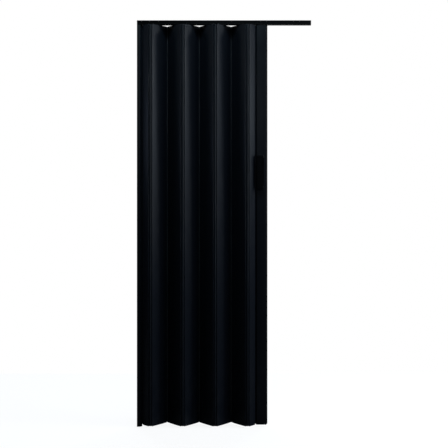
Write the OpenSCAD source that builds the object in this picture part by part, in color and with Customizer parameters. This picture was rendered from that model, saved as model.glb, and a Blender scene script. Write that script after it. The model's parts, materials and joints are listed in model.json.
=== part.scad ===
// Accordion folding door: rigid hollow panels on soft hinge strips, hung from a top track.
// X runs along the track, Y is through the doorway with the front at -Y, and Z is up.
// The origin is at floor level under the middle of the track.

/* [Doorway] */
// Height from the floor to the top of the track
overall_h = 2030; // [1800:5:2400]
// Length of the track, end caps included
track_l = 870; // [840:5:1000]
// Gap under the panels and the lead post
floor_gap = 10; // [5:1:25]
// Gap between the panels and the track
top_gap = 1; // [0.5:0.5:3]

/* [Folding] */
// Full panels between the two half panels, an even number
full_panels = 6; // [4:2:6]
// Angle between a panel and the track as the door stands
fold_angle = 49; // [40:1:75]

/* [Panels] */
// Width of a full panel from hinge axis to hinge axis
panel_w = 110; // [96:1:112]
// Thickness of a panel at its ends
panel_t = 11; // [10:0.5:13]
// How far each face of a full panel is crowned
panel_crown = 2; // [0.5:0.25:2.5]
// How far each face of a half panel is crowned
half_crown = 1; // [0.5:0.25:1.5]
// Outer wall of a panel
panel_skin = 1.4; // [1:0.1:1.8]
// Rib between two cells
panel_rib = 1.2; // [0.8:0.1:2]
// Solid length at each end of a panel, which holds the hinge strip
panel_edge = 9; // [8.5:0.5:12]
// Hollow cells in a full panel, an odd number
panel_cells = 5; // [3:2:5]
// Radius on the corners away from the hinge
corner_r = 1.5; // [0.5:0.25:2]

/* [Hinge strips] */
// Gap between a panel end and its hinge axis at a fold
end_gap = 2.4; // [2:0.1:2.8]
// Gap between a post or half panel and their hinge axis
mid_gap = 2.4; // [2.2:0.1:3]
// Thickness of the soft webs
web_t = 0.8; // [0.6:0.1:1]
// Radius of the outer web about the hinge axis
web_r = 6; // [5.6:0.1:6.4]
// Radius of the cord along each edge of a strip
bead_r = 1.3; // [1.1:0.1:1.4]
// Room around a strip in its channel
strip_fit = 0.3; // [0.2:0.05:0.4]
// Radius of the round core of the strips at the posts
core_r = 1; // [0.8:0.1:1.2]

/* [Track] */
// Width of the track, front to back
track_w = 24; // [22:1:30]
// Height of the track
track_h = 22.5; // [21:0.5:28]
// Wall of the track
track_wall = 1.6; // [1.2:0.1:2]
// Width of the slot under the track
track_slot = 9; // [8:0.5:10]
// Height of the groove along each face of the track
groove_h = 3; // [2:0.5:4]
// Depth of the groove along each face of the track
groove_d = 0.7; // [0.3:0.1:0.8]
// Thickness of an end cap
cap_t = 2; // [1.5:0.5:3]
// Length of an end cap's tongue inside the track
cap_tongue = 6; // [4:1:8]
// Radius of the screw holes in the track and the wall channel
screw_hole_r = 2.25; // [1.5:0.05:2.5]
// Distance of the outer track screws from the track's middle
track_screw_x = 380; // [360:5:385]
// Height of the lowest wall screw
wall_screw_z = 150; // [80:5:300]

/* [Gliders] */
// Length of a glider along the track
glider_l = 20; // [16:1:20]
// Gap on each side of a glider in the track
glider_side = 1.9; // [0.8:0.1:2.4]
// Height of a glider
glider_h = 8; // [7:0.5:9]
// Gap between a glider and the lips of the track
glide_gap = 0.3; // [0.2:0.05:0.4]
// Radius of a hanger pin
pin_r = 2.5; // [2:0.1:2.8]
// Room around a hanger pin in its glider
pin_fit = 0.06; // [0.03:0.01:0.09]
// Radius of a hanger pin's head
head_r = 4.4; // [3.8:0.1:4.8]
// Thickness of a hanger pin's head
head_t = 2; // [1.5:0.1:2.5]
// Depth of a hanger's plug in its panel
plug_d = 36; // [20:1:60]
// Room around a plug in its cell
plug_fit = 0.1; // [0.05:0.05:0.2]
// Length of the lead post's glider
lead_glider_l = 44; // [38:1:44]

/* [Wall side] */
// Width of the wall channel and jamb post up to the first hinge axis
jamb_w = 28.5; // [26:0.5:32]
// Depth of the wall channel along the track
channel_d = 16; // [13:0.5:17]
// Wall of the wall channel
channel_wall = 1.5; // [1.2:0.1:2]
// Room around the jamb post in the wall channel
channel_fit = 0.15; // [0.1:0.05:0.3]
// Wall of the jamb post
post_wall = 1.6; // [1.3:0.1:2]

/* [Lead post] */
// Width of the lead post with its seal, from the last hinge axis
lead_w = 60.4; // [57:0.2:66]
// Thickness of the lead post
lead_t = 20; // [18:1:22]
// Where the lead post reaches its full thickness
lead_shoulder = 7; // [6.5:0.5:8]
// Width of the soft seal past the post's edge
seal_w = 5.2; // [4:0.2:6]
// Thickness of the seal's bulb
seal_wall = 1.5; // [1:0.1:2]
// Thickness of the cap under the lead post
foot_t = 3; // [2:0.5:5]

/* [Handle] */
// Height of the handle's middle above the floor
handle_z = 1272; // [900:5:1400]
// Height of the handle
handle_h = 171; // [140:1:200]
// Width of the handle
handle_w = 37; // [34:1:42]
// Distance of the handle from the last hinge axis
handle_x = 5.4; // [5:0.1:6.5]
// How far the handle stands out of the post
handle_d = 20; // [18:1:26]
// Thickness of the handle's base
base_t = 2.5; // [2:0.5:3.5]
// Thickness of the handle's grip
grip_t = 3.5; // [3:0.5:5]
// Thickness of the handle's closed side
side_t = 3; // [2.5:0.5:4]
// Height of the solid block at each end of the handle
block_h = 14; // [12:1:18]
// How far the grip ends short of the handle's open side
grip_back = 7; // [4:1:10]
// Radius on the handle's front edges
handle_edge_r = 5; // [2:0.5:6]
// Radius on the handle's corners
handle_corner_r = 9; // [6:1:12]
// Radius of a handle screw
bolt_r = 1.9; // [1.6:0.1:2.1]
// Radius of a handle screw's head
bolt_head_r = 3.6; // [3:0.1:4]
// Thickness of a handle screw's head
bolt_head_t = 2.4; // [2:0.1:3]
// Room around a handle screw
bolt_fit = 0.3; // [0.2:0.05:0.5]

/* [Hidden] */
// Overshoot of a cut past the face that it opens
over = 1;
// How far two shapes of one piece run into each other
lap = 0.5;
// Half thickness of a nose beside a post hinge
nose_half = 2;
// Length over which a half panel tapers to its nose
nose_l = 8;
// Distance of a cord's middle from the end face that its strip enters
bead_in = 6;
// Distance of a cord's middle from the nose that its strip enters
nose_bead_in = 5;
// Radius of the cord of a strip at a nose
nose_bead_r = bead_r - 0.1;
// Gap between a strip's webs and the end faces of its panels
web_clear = 0.15;
// Solid length between a half panel's taper and its cells
half_cell_in = 1.5;
// Distance of each end of a hinge strip from the panel's ends
strip_short = 1;
// Flats that make up the crown of one face
crown_steps = 16;
// How far the groove of the track lies below the middle of its face
groove_drop = 2;
// Radius of a glider's corners
glider_r = 4;
// How deep a pin's head sits below the top of its glider
head_sunk = 1;
// Gap between a pin's head and its seat
head_gap = 0.15;
// Length of a pin inside its plug
pin_root = 5;
// Gap between the wall channel's mouth and the shoulder of the jamb post
shoulder_gap = 1;
// Length of the foot cap's plugs
foot_plug = 12;
// Radius of the edge along the handle's open side
grip_edge_r = 1.5;
// Radius in the depth of the finger gap
gap_corner_r = 3;
// Depth of a handle screw's head below the handle's face
bolt_sunk = 1;
// Least distance between a handle screw's hole and the rib of the lead post
bolt_in = 2;
// Length of a handle screw in the front handle
bolt_tip = 8;
// Width and depth of the cross in a screw's head
cross_w = 0.9;
cross_d = 1;

// Underside of the track and top of the panels
track_z = overall_h - track_h;
panel_top = track_z - top_gap;

// Advance along the track of one full panel at the fold angle
pitch = panel_w * cos(fold_angle) + panel_t * sin(fold_angle);
// Distance of the fold axes from the track's centre plane
fold_depth = (panel_w * sin(fold_angle) - panel_t * cos(fold_angle)) / 2;
// First and last hinge axes, both on the track's centre plane
wall_axis_x = -track_l / 2 + jamb_w;
lead_axis_x = wall_axis_x + (full_panels + 1) * pitch;
folds = full_panels + 1;
function fold_x(j) = wall_axis_x + (j - 0.5) * pitch;
function panel_x(k) = wall_axis_x + k * pitch;
function is_front(j) = j % 2 == 1;

// Lengths of the panels between their end faces, and the width of a cell
full_l = panel_w - 2 * end_gap;
half_l = panel_w / 2 - end_gap - mid_gap;
cell_w = (full_l - 2 * panel_edge - (panel_cells - 1) * panel_rib) / panel_cells;
function cell_start(i) = -full_l / 2 + panel_edge + i * (cell_w + panel_rib);
function crowned(u, l, crown) = panel_t / 2 + crown * (1 - pow(2 * u / l, 2));
function cell_half(u) = crowned(u, full_l, panel_crown) - panel_skin;

// The strip enters a panel where its outer web meets the end face
web_y = sqrt(web_r * web_r - end_gap * end_gap);
slot_half = web_t / 2 + strip_fit;
web_outer = web_r + web_t / 2;
web_reach = fold_angle + asin((end_gap - web_clear) / web_outer);
// The inner web closes the gap between the panels' inner corners
inner_web_r = end_gap - web_clear;

// Underside and width of a glider, its boss in the track's slot, and the seat of its pin's head
glider_z = track_z + track_wall + glide_gap;
glider_w = track_w - 2 * track_wall - 2 * glider_side;
boss_r = track_slot / 2 - glide_gap;
head_seat = glider_z + glider_h - head_t - head_sunk;

// Thickness of the jamb post, its back edge, and where it starts to taper
post_t = track_w - 2 * channel_wall - 2 * channel_fit;
post_x0 = -track_l / 2 + channel_wall + channel_fit;
post_shoulder = -track_l / 2 + channel_d + shoulder_gap;

// Rigid edge of the lead post, its outer wall, its rib and the solid ends beside its two cells
lead_edge = lead_w - seal_w;
lead_skin = 1.6;
lead_rib = 1.4;
lead_block = 7;
lead_cell_in = 5;
lead_cell_0 = lead_shoulder + lead_cell_in;
lead_cell_w = (lead_edge - lead_block - lead_cell_0 - lead_rib) / 2;
function lead_cell_x(i) = lead_cell_0 + i * (lead_cell_w + lead_rib);
lead_pins = [lead_cell_x(0) + lead_cell_w / 2, lead_cell_x(1) + lead_cell_w / 2];
// Lower end of the two soft strips in the lead post, clear of the cap below them
lead_strip_z = floor_gap + foot_t + strip_fit;

// Cord of the seal inside the post, the radius of its bulb, and its gap to the post's edge
seal_bead_r = 1.8;
seal_bead_x = lead_edge - 4;
seal_r = 10.2;
seal_gap = 0.05;

// Places of the two handle screws, from the last hinge axis and from the floor
bolt_x = min(lead_cell_x(0) + lead_cell_w - bolt_r - bolt_fit - bolt_in, handle_x + handle_w / 2);
bolt_z = [for (s = [-1, 1]) handle_z + s * (handle_h - block_h) / 2];

PANELS = [for (k = [1 : full_panels]) str("panel_", k)];
HANGERS = [for (k = [1 : full_panels]) str("hanger_", k)];
GLIDERS = [for (k = [1 : full_panels]) str("glider_", k)];
STRIPS = [for (j = [1 : folds]) str("hinge_strip_", j)];

PVC = [0.06, 0.065, 0.08];
SOFT_PVC = [0.1, 0.1, 0.12];
NYLON = [0.82, 0.82, 0.8];
STEEL = [0.6, 0.61, 0.63];
HANDLE = [0.03, 0.03, 0.035];

// Material to take off a square corner at the origin to round it
module corner_cut(r) {
    difference() {
        translate([-over, -over]) square(r + over);
        translate([r, r]) circle(r = r, $fn = 32);
    }
}

// A rectangle from the origin with one radius on all four corners
module rounded_rect(w, h, r) {
    translate([r, 0]) square([w - 2 * r, h]);
    translate([0, r]) square([w, h - 2 * r]);
    for (x = [r, w - r]) for (y = [r, h - r]) translate([x, y]) circle(r = r, $fn = 48);
}

// A section with two crowned faces, centred on the origin
module lens(l, crown) {
    u = [for (i = [0 : crown_steps]) l * (i / crown_steps - 0.5)];
    polygon(concat(
        [for (i = [0 : crown_steps]) [u[i], -crowned(u[i], l, crown)]],
        [for (i = [crown_steps : -1 : 0]) [u[i], crowned(u[i], l, crown)]]
    ));
}

// The channel for one side of a strip at a fold. The hinge axis is at the origin, the panel
// runs along +X, and its thickness lies along +Y.
module fold_channel() {
    translate([end_gap - over, web_y - slot_half]) square([bead_in + over, 2 * slot_half]);
    translate([end_gap + bead_in, web_y]) circle(r = bead_r + strip_fit, $fn = 32);
}

// The part of a strip inside that channel
module fold_leg() {
    translate([end_gap - lap, web_y - web_t / 2]) square([bead_in + lap, web_t]);
    translate([end_gap + bead_in, web_y]) circle(r = bead_r, $fn = 32);
}

// The same two shapes at a post, where the strip lies at half thickness
module nose_channel() {
    translate([mid_gap - over, -slot_half]) square([nose_bead_in + over, 2 * slot_half]);
    translate([mid_gap + nose_bead_in, 0]) circle(r = nose_bead_r + strip_fit, $fn = 32);
}

module nose_leg() {
    translate([0, -web_t / 2]) square([mid_gap + nose_bead_in, web_t]);
    translate([mid_gap + nose_bead_in, 0]) circle(r = nose_bead_r, $fn = 32);
}

// Section of a full panel whose left hinge axis is behind it and whose right one is before it
module panel_section() {
    difference() {
        lens(full_l, panel_crown);
        for (i = [0 : panel_cells - 1]) cell(cell_start(i));
        translate([-panel_w / 2, panel_t / 2]) mirror([0, 1]) fold_channel();
        translate([panel_w / 2, -panel_t / 2]) mirror([1, 0]) fold_channel();
        translate([-full_l / 2, -panel_t / 2]) corner_cut(corner_r);
        translate([full_l / 2, panel_t / 2]) mirror([1, 0]) mirror([0, 1]) corner_cut(corner_r);
    }
}

module cell(u0, fit = 0) {
    u1 = u0 + cell_w;
    polygon([
        [u0 + fit, cell_half(u0) - fit], [u1 - fit, cell_half(u1) - fit],
        [u1 - fit, fit - cell_half(u1)], [u0 + fit, fit - cell_half(u0)]
    ]);
}

// Section of the right half panel, with the lead post's hinge axis at the origin
module half_section() {
    mid = -mid_gap - half_l / 2;
    difference() {
        translate([mid, 0]) lens(half_l, half_crown);
        translate([-panel_w / 2, panel_t / 2]) mirror([0, 1]) fold_channel();
        translate([-panel_w / 2 + end_gap, -panel_t / 2]) corner_cut(corner_r);
        nose_taper();
        mirror([0, 1]) nose_taper();
        mirror([1, 0]) nose_channel();
        half_cells();
    }
}

module nose_taper() {
    far = nose_half + (panel_t / 2 + half_crown - nose_half) * (nose_l + over) / nose_l;
    polygon([
        [-mid_gap, nose_half], [-mid_gap - nose_l, panel_t / 2 + half_crown],
        [-mid_gap + over, far], [-mid_gap + over, nose_half]
    ]);
}

module half_cells() {
    x0 = -panel_w / 2 + end_gap + panel_edge;
    x1 = -mid_gap - nose_l - half_cell_in;
    w = (x1 - x0 - panel_rib) / 2;
    for (i = [0, 1]) translate([x0 + i * (w + panel_rib), panel_skin - panel_t / 2])
        square([w, panel_t - 2 * panel_skin]);
}

// Puts a section in place as an upright from z0 to z1
module upright(z0, z1) {
    translate([0, 0, z0]) linear_extrude(z1 - z0) children();
}

module at_panel(k) {
    translate([panel_x(k), 0]) rotate(is_front(k) ? fold_angle : -fold_angle) children();
}

module panel(k) {
    color(PVC) upright(floor_gap, panel_top)
        at_panel(k) mirror([0, is_front(k) ? 0 : 1]) panel_section();
}

module left_half_panel() {
    color(PVC) upright(floor_gap, panel_top)
        translate([wall_axis_x, 0]) mirror([1, 0]) rotate(fold_angle) half_section();
}

module right_half_panel() {
    color(PVC) upright(floor_gap, panel_top)
        translate([lead_axis_x, 0]) rotate(fold_angle) half_section();
}

// A ring about the hinge axis, kept between the directions a0 and a1 from +Y towards +X
module web(outer, a0, a1) {
    intersection() {
        difference() {
            circle(r = outer, $fn = 48);
            circle(r = outer - web_t, $fn = 48);
        }
        polygon(concat([[0, 0]], [for (i = [0 : 4])
            2 * outer * [sin(a0 + i * (a1 - a0) / 4), cos(a0 + i * (a1 - a0) / 4)]]));
    }
}

// A strip at a fold: an outer and an inner web, both curved about the hinge axis, joined by a side
// along each end face, and a corded leg in each panel
module hinge_strip(j) {
    color(SOFT_PVC) upright(floor_gap + strip_short, panel_top - strip_short)
        translate([fold_x(j), (is_front(j) ? -1 : 1) * fold_depth])
            mirror([0, is_front(j) ? 1 : 0]) {
                web(web_outer, -web_reach, web_reach);
                web(inner_web_r, fold_angle + 90, 270 - fold_angle);
                for (m = [0, 1]) mirror([m, 0]) rotate(-fold_angle) {
                    translate([inner_web_r - web_t, 0]) square([web_t, web_y]);
                    fold_leg();
                }
            }
}

// A strip at a post: a round core on the hinge axis, and a corded leg on each side
module post_strip(x, z0, turn) {
    color(SOFT_PVC) upright(z0, panel_top - strip_short)
        translate([x, 0]) {
            circle(r = core_r, $fn = 32);
            for (a = turn) rotate(a) nose_leg();
        }
}

module wall_hinge_strip() {
    post_strip(wall_axis_x, floor_gap + strip_short, [180, -fold_angle]);
}

module lead_hinge_strip() {
    post_strip(lead_axis_x, lead_strip_z, [0, 180 + fold_angle]);
}

module track_section() {
    difference() {
        translate([-track_w / 2, 0]) square([track_w, track_h]);
        translate([-track_w / 2 + track_wall, track_wall])
            square([track_w - 2 * track_wall, track_h - 2 * track_wall]);
        translate([-track_slot / 2, -over]) square([track_slot, track_wall + 2 * over]);
        for (m = [0, 1]) mirror([m, 0])
            translate([track_w / 2 - groove_d, (track_h - groove_h) / 2 - groove_drop])
                square([groove_d + over, groove_h]);
    }
}

module track() {
    color(PVC) difference() {
        translate([cap_t - track_l / 2, 0, track_z]) rotate([90, 0, 90])
            linear_extrude(track_l - 2 * cap_t) track_section();
        for (x = [-1, -1 / 3, 1 / 3, 1]) translate([x * track_screw_x, 0, track_z + track_h / 2])
            cylinder(r = screw_hole_r, h = track_h, $fn = 32);
    }
}

module track_end_caps() {
    inner_w = track_w - 2 * track_wall - 2 * plug_fit;
    inner_h = track_h - 2 * track_wall - 2 * plug_fit;
    color(PVC) for (m = [0, 1]) mirror([m, 0, 0]) translate([-track_l / 2, 0, track_z]) {
        translate([0, -track_w / 2, 0]) cube([cap_t, track_w, track_h]);
        translate([cap_t - lap, -inner_w / 2, track_wall + plug_fit])
            cube([cap_tongue + lap, inner_w, inner_h]);
    }
}

module wall_channel() {
    top = track_z - wall_screw_z;
    color(PVC) difference() {
        translate([-track_l / 2, -track_w / 2, 0]) cube([channel_d, track_w, track_z]);
        translate([channel_wall - track_l / 2, channel_wall - track_w / 2, -over])
            cube([channel_d, track_w - 2 * channel_wall, track_z + 2 * over]);
        for (i = [0 : 3]) translate([-track_l / 2 - over, 0, wall_screw_z + i * (top - wall_screw_z) / 3])
            rotate([0, 90, 0]) cylinder(r = screw_hole_r, h = channel_wall + 2 * over, $fn = 32);
    }
}

module jamb_post() {
    nose_x = wall_axis_x - mid_gap;
    color(PVC) upright(0, track_z) difference() {
        polygon([
            [post_x0, -post_t / 2], [post_shoulder, -post_t / 2], [nose_x, -nose_half],
            [nose_x, nose_half], [post_shoulder, post_t / 2], [post_x0, post_t / 2]
        ]);
        translate([post_x0 - over, post_wall - post_t / 2])
            square([post_shoulder - post_x0, post_t - 2 * post_wall]);
        translate([wall_axis_x, 0]) mirror([1, 0]) nose_channel();
    }
}

// Outline of the lead post without its cells and channels
module lead_outline() {
    difference() {
        polygon([
            [mid_gap, -nose_half], [lead_shoulder, -lead_t / 2], [lead_edge, -lead_t / 2],
            [lead_edge, lead_t / 2], [lead_shoulder, lead_t / 2], [mid_gap, nose_half]
        ]);
        for (m = [0, 1]) mirror([0, m]) translate([lead_edge, -lead_t / 2]) mirror([1, 0])
            corner_cut(corner_r);
    }
}

module lead_cell(i, fit = 0) {
    translate([lead_cell_x(i) + fit, lead_skin - lead_t / 2 + fit])
        square([lead_cell_w - 2 * fit, lead_t - 2 * lead_skin - 2 * fit]);
}

module lead_post() {
    color(PVC) translate([lead_axis_x, 0, 0]) difference() {
        upright(floor_gap + foot_t, panel_top) difference() {
            lead_outline();
            lead_cell(0);
            lead_cell(1);
            nose_channel();
            translate([seal_bead_x, 0]) circle(r = seal_bead_r + strip_fit, $fn = 32);
            translate([seal_bead_x, -slot_half]) square([lead_edge - seal_bead_x + over, 2 * slot_half]);
        }
        for (z = bolt_z) translate([bolt_x, lead_t / 2 + over, z]) rotate([90, 0, 0])
            cylinder(r = bolt_r + bolt_fit, h = lead_t + 2 * over, $fn = 32);
    }
}

module lead_foot_cap() {
    color(PVC) translate([lead_axis_x, 0, 0]) {
        upright(floor_gap, floor_gap + foot_t) lead_outline();
        for (i = [0, 1]) upright(floor_gap + foot_t - lap, floor_gap + foot_t + foot_plug)
            lead_cell(i, plug_fit);
    }
}

module lead_seal() {
    color(SOFT_PVC) translate([lead_axis_x, 0, 0]) upright(lead_strip_z, panel_top - strip_short)
        difference() {
            union() {
                translate([seal_bead_x, 0]) circle(r = seal_bead_r, $fn = 32);
                translate([seal_bead_x, -web_t / 2]) square([lead_edge - seal_bead_x + lap, web_t]);
                intersection() {
                    translate([lead_w - seal_r, 0]) circle(r = seal_r, $fn = 96);
                    translate([lead_edge + seal_gap, -seal_r]) square([seal_w, 2 * seal_r]);
                }
            }
            intersection() {
                translate([lead_w - seal_r, 0]) circle(r = seal_r - seal_wall, $fn = 96);
                translate([lead_edge + seal_gap + seal_wall, -seal_r]) square([seal_w, 2 * seal_r]);
            }
        }
}

// A pin with a head, from inside its plug up to its seat in a glider
module hanger_pin() {
    upright(panel_top - pin_root, head_seat + head_gap + lap) circle(r = pin_r, $fn = 32);
    upright(head_seat + head_gap, head_seat + head_gap + head_t) circle(r = head_r, $fn = 48);
}

// Room in a glider for a hanger pin and its head
module pin_room() {
    upright(track_z - over, glider_z + glider_h + over) circle(r = pin_r + pin_fit, $fn = 32);
    upright(head_seat, glider_z + glider_h + over) circle(r = head_r + glide_gap, $fn = 48);
}

// A glider with a bore for each of its pins and a boss in the track's slot below each bore
module glider_block(l, pins) {
    difference() {
        union() {
            upright(glider_z, glider_z + glider_h)
                translate([-l / 2, -glider_w / 2]) rounded_rect(l, glider_w, glider_r);
            for (x = pins) translate([x, 0, 0]) upright(track_z, glider_z + lap) circle(r = boss_r, $fn = 48);
        }
        for (x = pins) translate([x, 0, 0]) pin_room();
    }
}

module hanger(k) {
    color(NYLON) {
        upright(panel_top - plug_d, panel_top) at_panel(k) cell(-cell_w / 2, plug_fit);
        translate([panel_x(k), 0, 0]) hanger_pin();
    }
}

module glider(k) {
    color(NYLON) translate([panel_x(k), 0, 0]) glider_block(glider_l, [0]);
}

module lead_hangers() {
    color(NYLON) translate([lead_axis_x, 0, 0]) for (i = [0, 1]) {
        upright(panel_top - plug_d, panel_top) lead_cell(i, plug_fit);
        translate([lead_pins[i], 0, 0]) hanger_pin();
    }
}

module lead_glider() {
    mid = (lead_pins[0] + lead_pins[1]) / 2;
    color(NYLON) translate([lead_axis_x + mid, 0, 0])
        glider_block(lead_glider_l, [lead_pins[0] - mid, lead_pins[1] - mid]);
}

// One half of the handle in front of the post, with the finger gap open on its right
module handle_shell() {
    z0 = handle_z - handle_h / 2;
    intersection() {
        difference() {
            upright(z0, z0 + handle_h) handle_section();
            upright(z0 + block_h, z0 + handle_h - block_h) finger_gap();
        }
        translate([0, 0, z0]) rotate([90, 0, 0]) linear_extrude(lead_t + handle_d)
            rounded_rect(handle_w, handle_h, handle_corner_r);
    }
}

module handle_section() {
    difference() {
        translate([0, -lead_t / 2 - handle_d]) square([handle_w, handle_d]);
        translate([0, -lead_t / 2 - handle_d]) corner_cut(handle_edge_r);
        translate([handle_w, -lead_t / 2 - handle_d]) mirror([1, 0]) corner_cut(grip_edge_r);
    }
}

// The space behind the grip, and the slot between the grip's free edge and the open side
module finger_gap() {
    gap = handle_d - base_t - grip_t;
    translate([side_t, -lead_t / 2 - base_t - gap]) difference() {
        square([handle_w, gap]);
        corner_cut(gap_corner_r);
    }
    translate([handle_w - grip_back, -lead_t / 2 - handle_d - over])
        square([grip_back + over, handle_d + over - base_t]);
}

module front_handle() {
    color(HANDLE) translate([lead_axis_x, 0, 0]) difference() {
        translate([handle_x, 0, 0]) handle_shell();
        for (z = bolt_z) translate([bolt_x, 0, z]) rotate([90, 0, 0])
            cylinder(r = bolt_r, h = lead_t / 2 + bolt_tip + lap, $fn = 32);
    }
}

module back_handle() {
    color(HANDLE) translate([lead_axis_x, 0, 0]) difference() {
        translate([handle_x, 0, 0]) mirror([0, 1, 0]) handle_shell();
        for (z = bolt_z) translate([bolt_x, lead_t / 2 + handle_d + over, z]) rotate([90, 0, 0]) {
            cylinder(r = bolt_r + bolt_fit, h = handle_d + 2 * over, $fn = 32);
            cylinder(r = bolt_head_r + bolt_fit, h = bolt_head_t + bolt_sunk + over, $fn = 32);
        }
    }
}

module handle_screws() {
    seat = lead_t / 2 + handle_d - bolt_head_t - bolt_sunk;
    color(STEEL) translate([lead_axis_x, 0, 0]) for (z = bolt_z) translate([bolt_x, 0, z]) difference() {
        union() {
            translate([0, seat + lap, 0]) rotate([90, 0, 0])
                cylinder(r = bolt_r, h = seat + lap + lead_t / 2 + bolt_tip, $fn = 32);
            translate([0, seat + bolt_head_t, 0]) rotate([90, 0, 0])
                cylinder(r = bolt_head_r, h = bolt_head_t, $fn = 32);
        }
        for (a = [0, 90]) translate([0, seat + bolt_head_t, 0]) rotate([0, a, 0])
            cube([bolt_head_r, 2 * cross_d, cross_w], center = true);
    }
}

track();
track_end_caps();
wall_channel();
jamb_post();
wall_hinge_strip();
left_half_panel();
for (k = [1 : full_panels]) panel(k);
right_half_panel();
for (j = [1 : folds]) hinge_strip(j);
for (k = [1 : full_panels]) hanger(k);
for (k = [1 : full_panels]) glider(k);
lead_hinge_strip();
lead_post();
lead_foot_cap();
lead_hangers();
lead_glider();
lead_seal();
front_handle();
back_handle();
handle_screws();
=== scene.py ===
"""An accordion folding door of black PVC, hung from a top track and partly drawn out.

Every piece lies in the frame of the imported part: +X along the track, the front at -Y, +Z up, in metres.
The door's long pieces are extruded profiles, so each has a function for its section, in its own plane,
and one function, extruded, carries a section along an axis.
"""
import json
import math

import bpy
import numpy as np
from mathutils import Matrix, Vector
from mathutils.geometry import tessellate_polygon


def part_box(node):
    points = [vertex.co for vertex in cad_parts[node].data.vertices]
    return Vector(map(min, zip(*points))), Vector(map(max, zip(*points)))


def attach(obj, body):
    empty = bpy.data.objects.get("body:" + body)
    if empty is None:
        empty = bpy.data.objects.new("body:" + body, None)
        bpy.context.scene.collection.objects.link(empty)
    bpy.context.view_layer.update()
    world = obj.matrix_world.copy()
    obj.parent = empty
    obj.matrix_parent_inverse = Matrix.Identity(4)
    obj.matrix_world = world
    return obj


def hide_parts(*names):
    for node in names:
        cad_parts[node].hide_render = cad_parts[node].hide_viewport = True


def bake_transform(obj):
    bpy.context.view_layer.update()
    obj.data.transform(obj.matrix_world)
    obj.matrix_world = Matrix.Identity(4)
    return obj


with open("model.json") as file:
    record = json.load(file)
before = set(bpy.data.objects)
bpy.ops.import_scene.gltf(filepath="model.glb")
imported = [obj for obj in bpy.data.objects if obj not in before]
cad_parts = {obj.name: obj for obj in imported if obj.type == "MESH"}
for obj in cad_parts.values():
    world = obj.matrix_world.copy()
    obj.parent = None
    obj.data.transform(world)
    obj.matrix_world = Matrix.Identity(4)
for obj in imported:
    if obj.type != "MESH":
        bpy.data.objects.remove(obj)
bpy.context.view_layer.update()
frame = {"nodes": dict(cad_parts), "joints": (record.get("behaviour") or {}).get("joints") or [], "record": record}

MM = 0.001

# Rounding of cut ends, and the sharpest bend that is shaded smooth
EDGE_R = 0.2 * MM
FINE_EDGE_R = 0.1 * MM     # of strips and the track
SMOOTH_DEG = 35
SAME_POINT = 0.0001 * MM   # points nearer than this are one

# Panels
PANEL_T = 11 * MM          # thickness at the ends
CROWN = 2 * MM             # rise of each face of a full panel
HALF_CROWN = 1 * MM        # rise of each face of a half panel
SKIN = 1.4 * MM            # outer wall
RIB = 1.2 * MM             # wall between two cells
SOLID_END = 9 * MM         # solid length at each end
CELLS = 5                  # hollow cells in a full panel
OUTER_R = 1.7 * MM         # corners away from the hinge
INNER_R = 0.35 * MM        # corners beside the hinge
CELL_R = 0.8 * MM

# Hinge strips and their channels
END_GAP = 2.4 * MM         # panel end to hinge axis at a fold
MID_GAP = 2.4 * MM         # post or half panel to their hinge axis
WEB_T = 0.8 * MM
WEB_R = 6 * MM             # outer web about the axis
CORD_R = 1.3 * MM
NOSE_CORD_R = 1.2 * MM
CORD_IN = 6 * MM           # cord's middle from the end face
NOSE_CORD_IN = 5 * MM
FIT = 0.45 * MM            # room around a strip in its channel
CORE_R = 1 * MM
NOSE_HALF = 2 * MM
NOSE_L = 8 * MM
NOSE_R = 0.5 * MM          # small corners of noses, jamb post and wall channel
NOSE_BLEND = 0.12 * MM     # softness of the bend where a half panel's face meets its nose
WEB_CLEAR = 0.15 * MM
WEB_REST = 0.05 * MM       # room between a strip's inner and outer web
MOUTH_R = 0.3 * MM         # corners at the mouth of a channel

# Posts and wall channel
LEAD_T = 20 * MM
LEAD_SHOULDER = 7 * MM
LEAD_W = 60.4 * MM
SEAL_W = 5.2 * MM
SEAL_R = 10.2 * MM
SEAL_WALL = 1.5 * MM
SEAL_CORD_R = 1.8 * MM
SEAL_CORD_IN = 4 * MM
SEAL_GAP = 0.05 * MM
LEAD_SKIN = 1.6 * MM
LEAD_RIB = 1.4 * MM
LEAD_BLOCK = 7 * MM
LEAD_CELL_IN = 5 * MM
CHANNEL_WALL = 1.5 * MM
POST_WALL = 1.6 * MM
SHOULDER_GAP = 1 * MM
SHOULDER_R = 2 * MM

# Track
TRACK_WALL = 1.6 * MM
TRACK_SLOT = 9 * MM        # width of the slot below
GROOVE_H = 3 * MM
GROOVE_D = 0.7 * MM
GROOVE_DROP = 2 * MM       # how far the groove lies below the middle of the face
TRACK_R = 0.8 * MM         # outer corners
TRACK_INNER_R = 0.25 * MM  # inner corners
LIP_R = 0.5 * MM           # edges of the slot
HOLE_R = 2.25 * MM
SCREWS = (-1, -1 / 3, 1 / 3, 1)  # places of four screws, as shares of half their span

# Handle
BASE_T = 2.5 * MM
GRIP_T = 3.5 * MM
SIDE_T = 3 * MM
BLOCK_H = 14 * MM
GRIP_BACK = 7 * MM         # the grip ends this far before the handle's right edge
FREE_EDGE_R = 1.6 * MM
GAP_R = 3 * MM
GAP_END_R = 1.4 * MM       # less than half of GAP_R
HANDLE_CORNER_R = 9 * MM
HANDLE_EDGE_R = 3.2 * MM
BOLT_R = 1.9 * MM
BOLT_HEAD_R = 3.6 * MM
BOLT_FIT = 0.3 * MM
BOLT_HEAD_ROOM = 3.4 * MM

# Studio
ROOM_LIGHT = 0.002         # strength of the room as a light
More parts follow.
